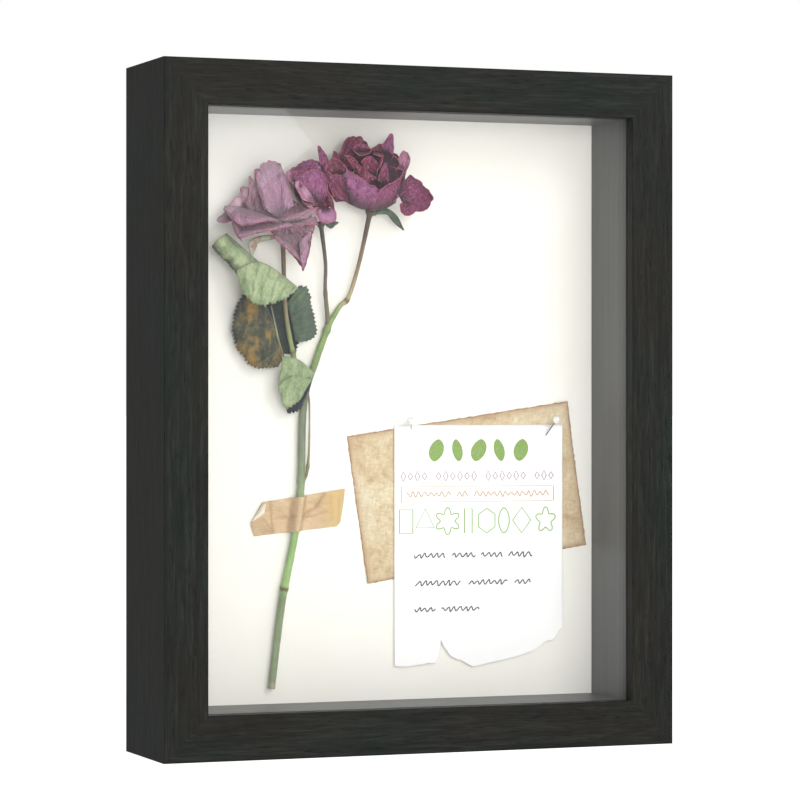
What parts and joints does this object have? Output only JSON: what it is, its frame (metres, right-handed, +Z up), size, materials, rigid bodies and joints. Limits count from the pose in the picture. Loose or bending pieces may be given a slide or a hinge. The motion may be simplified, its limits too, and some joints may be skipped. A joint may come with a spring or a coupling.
{
  "type": "shadow box",
  "caption": "Deep mitred wooden display frame with a glass front and a lift-out pinned back held by turn buttons, showing a dried rose spray and notes.",
  "frame": {"origin": "centre of the bounding box's footprint, on the surface that the box stands on", "axes": "+Z up when it stands or hangs upright; the glazed front faces -Y and the back +Y; +X is to the right seen from the front"},
  "size_m": [0.2454, 0.0624, 0.309],
  "materials": {
    "stained_wood": "satin charcoal stain over open grain",
    "lining_wood": "satin charcoal stain",
    "clear_glass": "clear, polished",
    "bright_steel": "bright",
    "zinc_steel": "zinc plated",
    "clear_bumper": "translucent, glossy",
    "hardboard": "smooth brown hardboard",
    "foam": "paper-faced foam board",
    "cream_card": "smooth matt card",
    "aged_paper": "mottled, matt",
    "white_card": "matt, torn along its lower edge",
    "pearl": "pearl, glossy",
    "kraft_tape": "crumpled kraft",
    "green_stem": "dried, ribbed",
    "brown_stem": "dried, ribbed",
    "dusty_petal": "dried, finely wrinkled",
    "purple_petal": "dried, finely wrinkled",
    "sage_leaf": "dried, veined",
    "olive_leaf": "dried, veined"
  },
  "bodies": {
    "frame": {"rail_left": "stained_wood", "rail_right": "stained_wood", "rail_top": "stained_wood", "rail_bottom": "stained_wood", "corner_v_nails": "bright_steel", "glass_pane": "clear_glass", "spacer_left": "lining_wood", "spacer_right": "lining_wood", "spacer_top": "lining_wood", "spacer_bottom": "lining_wood", "turn_button_screws": "zinc_steel", "sawtooth_hanger_top": "zinc_steel", "sawtooth_hanger_side": "zinc_steel", "hanger_brads": "bright_steel", "wall_bumpers": "clear_bumper"},
    "display_back": {"back_panel": "hardboard", "foam_board": "foam", "backing_sheet": "cream_card", "aged_paper": "aged_paper", "note_card": "white_card", "pin_needle_left": "bright_steel", "pin_head_left": "pearl", "pin_needle_right": "bright_steel", "pin_head_right": "pearl", "tape_strip": "kraft_tape", "stem_main": "green_stem", "branch_right": "brown_stem", "branch_middle": "brown_stem", "branch_left": "brown_stem", "bloom_left": "dusty_petal", "bloom_middle": "purple_petal", "bloom_right": "purple_petal", "leaf_curled": "sage_leaf", "leaf_round": "olive_leaf", "leaf_dark": "olive_leaf", "leaf_small": "sage_leaf", "sepal_left": "sage_leaf", "sepal_middle": "sage_leaf", "sepal_right": "sage_leaf"},
    "turn_button_top_left": {"turn_button_top_left": "zinc_steel"},
    "turn_button_top_right": {"turn_button_top_right": "zinc_steel"},
    "turn_button_bottom_left": {"turn_button_bottom_left": "zinc_steel"},
    "turn_button_bottom_right": {"turn_button_bottom_right": "zinc_steel"},
    "turn_button_left_lower": {"turn_button_left_lower": "zinc_steel"},
    "turn_button_left_upper": {"turn_button_left_upper": "zinc_steel"},
    "turn_button_right_lower": {"turn_button_right_lower": "zinc_steel"},
    "turn_button_right_upper": {"turn_button_right_upper": "zinc_steel"}
  },
  "joints": [
    {"name": "back_lift_out", "type": "slide", "parent": "frame", "child": "display_back", "axis": [0, 1, 0], "range_m": [0, 0.08]},
    {"name": "swivel_top_left", "type": "hinge", "parent": "frame", "child": "turn_button_top_left", "pos_m": [-0.062, 0.02885, 0.3005], "axis": [0, 1, 0], "range_deg": [0, 90]},
    {"name": "swivel_top_right", "type": "hinge", "parent": "frame", "child": "turn_button_top_right", "pos_m": [0.062, 0.02885, 0.3005], "axis": [0, 1, 0], "range_deg": [0, 90]},
    {"name": "swivel_bottom_left", "type": "hinge", "parent": "frame", "child": "turn_button_bottom_left", "pos_m": [-0.062, 0.02885, 0.0085], "axis": [0, 1, 0], "range_deg": [0, 90]},
    {"name": "swivel_bottom_right", "type": "hinge", "parent": "frame", "child": "turn_button_bottom_right", "pos_m": [0.062, 0.02885, 0.0085], "axis": [0, 1, 0], "range_deg": [0, 90]},
    {"name": "swivel_left_lower", "type": "hinge", "parent": "frame", "child": "turn_button_left_lower", "pos_m": [-0.1142, 0.02885, 0.0695], "axis": [0, 1, 0], "range_deg": [0, 90]},
    {"name": "swivel_left_upper", "type": "hinge", "parent": "frame", "child": "turn_button_left_upper", "pos_m": [-0.1142, 0.02885, 0.2395], "axis": [0, 1, 0], "range_deg": [0, 90]},
    {"name": "swivel_right_lower", "type": "hinge", "parent": "frame", "child": "turn_button_right_lower", "pos_m": [0.1142, 0.02885, 0.0695], "axis": [0, 1, 0], "range_deg": [0, 90]},
    {"name": "swivel_right_upper", "type": "hinge", "parent": "frame", "child": "turn_button_right_upper", "pos_m": [0.1142, 0.02885, 0.2395], "axis": [0, 1, 0], "range_deg": [0, 90]}
  ]
}
